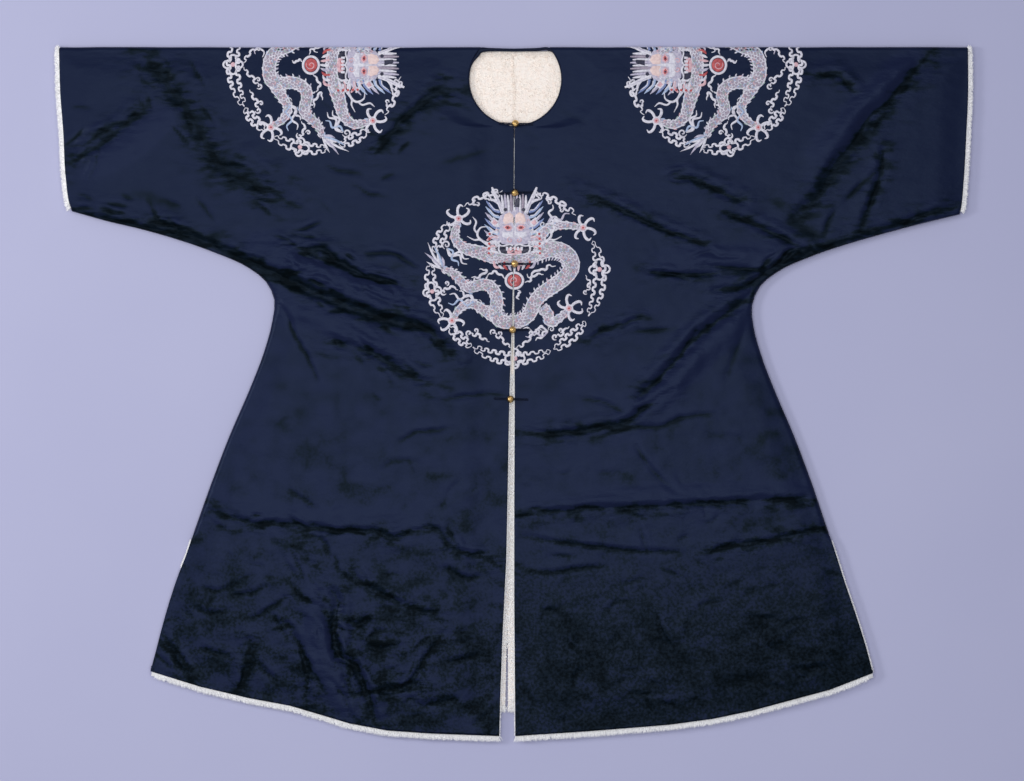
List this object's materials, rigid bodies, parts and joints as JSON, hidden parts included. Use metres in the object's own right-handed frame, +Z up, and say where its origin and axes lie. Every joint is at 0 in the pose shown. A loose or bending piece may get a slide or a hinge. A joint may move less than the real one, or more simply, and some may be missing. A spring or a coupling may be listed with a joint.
{
  "type": "court surcoat",
  "caption": "Fur-lined front-opening court surcoat with wide sleeves, round neck, ball buttons and cord loops, buttoned and laid flat on its back.",
  "frame": {"origin": "middle of the outline, on the plane of the surface that the coat lies on", "axes": "+X to the wearer's left, +Y towards the neck, +Z up, out of the front of the coat"},
  "size_m": [1.516, 1.145, 0.0289],
  "materials": {
    "satin": "dark blue silk satin with raised embroidery",
    "fleece": "white lambskin fleece",
    "cord": "rolled satin cord",
    "gilt": "gilt, chased"
  },
  "bodies": {
    "root": {"satin_right": "satin", "satin_left": "satin", "fleece_front_right": "fleece", "fleece_front_left": "fleece", "fleece_back_right": "fleece", "fleece_back_left": "fleece", "neck_binding": "satin", "button_1": "gilt", "tail_1": "cord", "loop_1": "cord", "button_2": "gilt", "tail_2": "cord", "loop_2": "cord", "button_3": "gilt", "tail_3": "cord", "loop_3": "cord", "button_4": "gilt", "tail_4": "cord", "loop_4": "cord", "button_5": "gilt", "tail_5": "cord", "loop_5": "cord"}
  },
  "joints": []
}
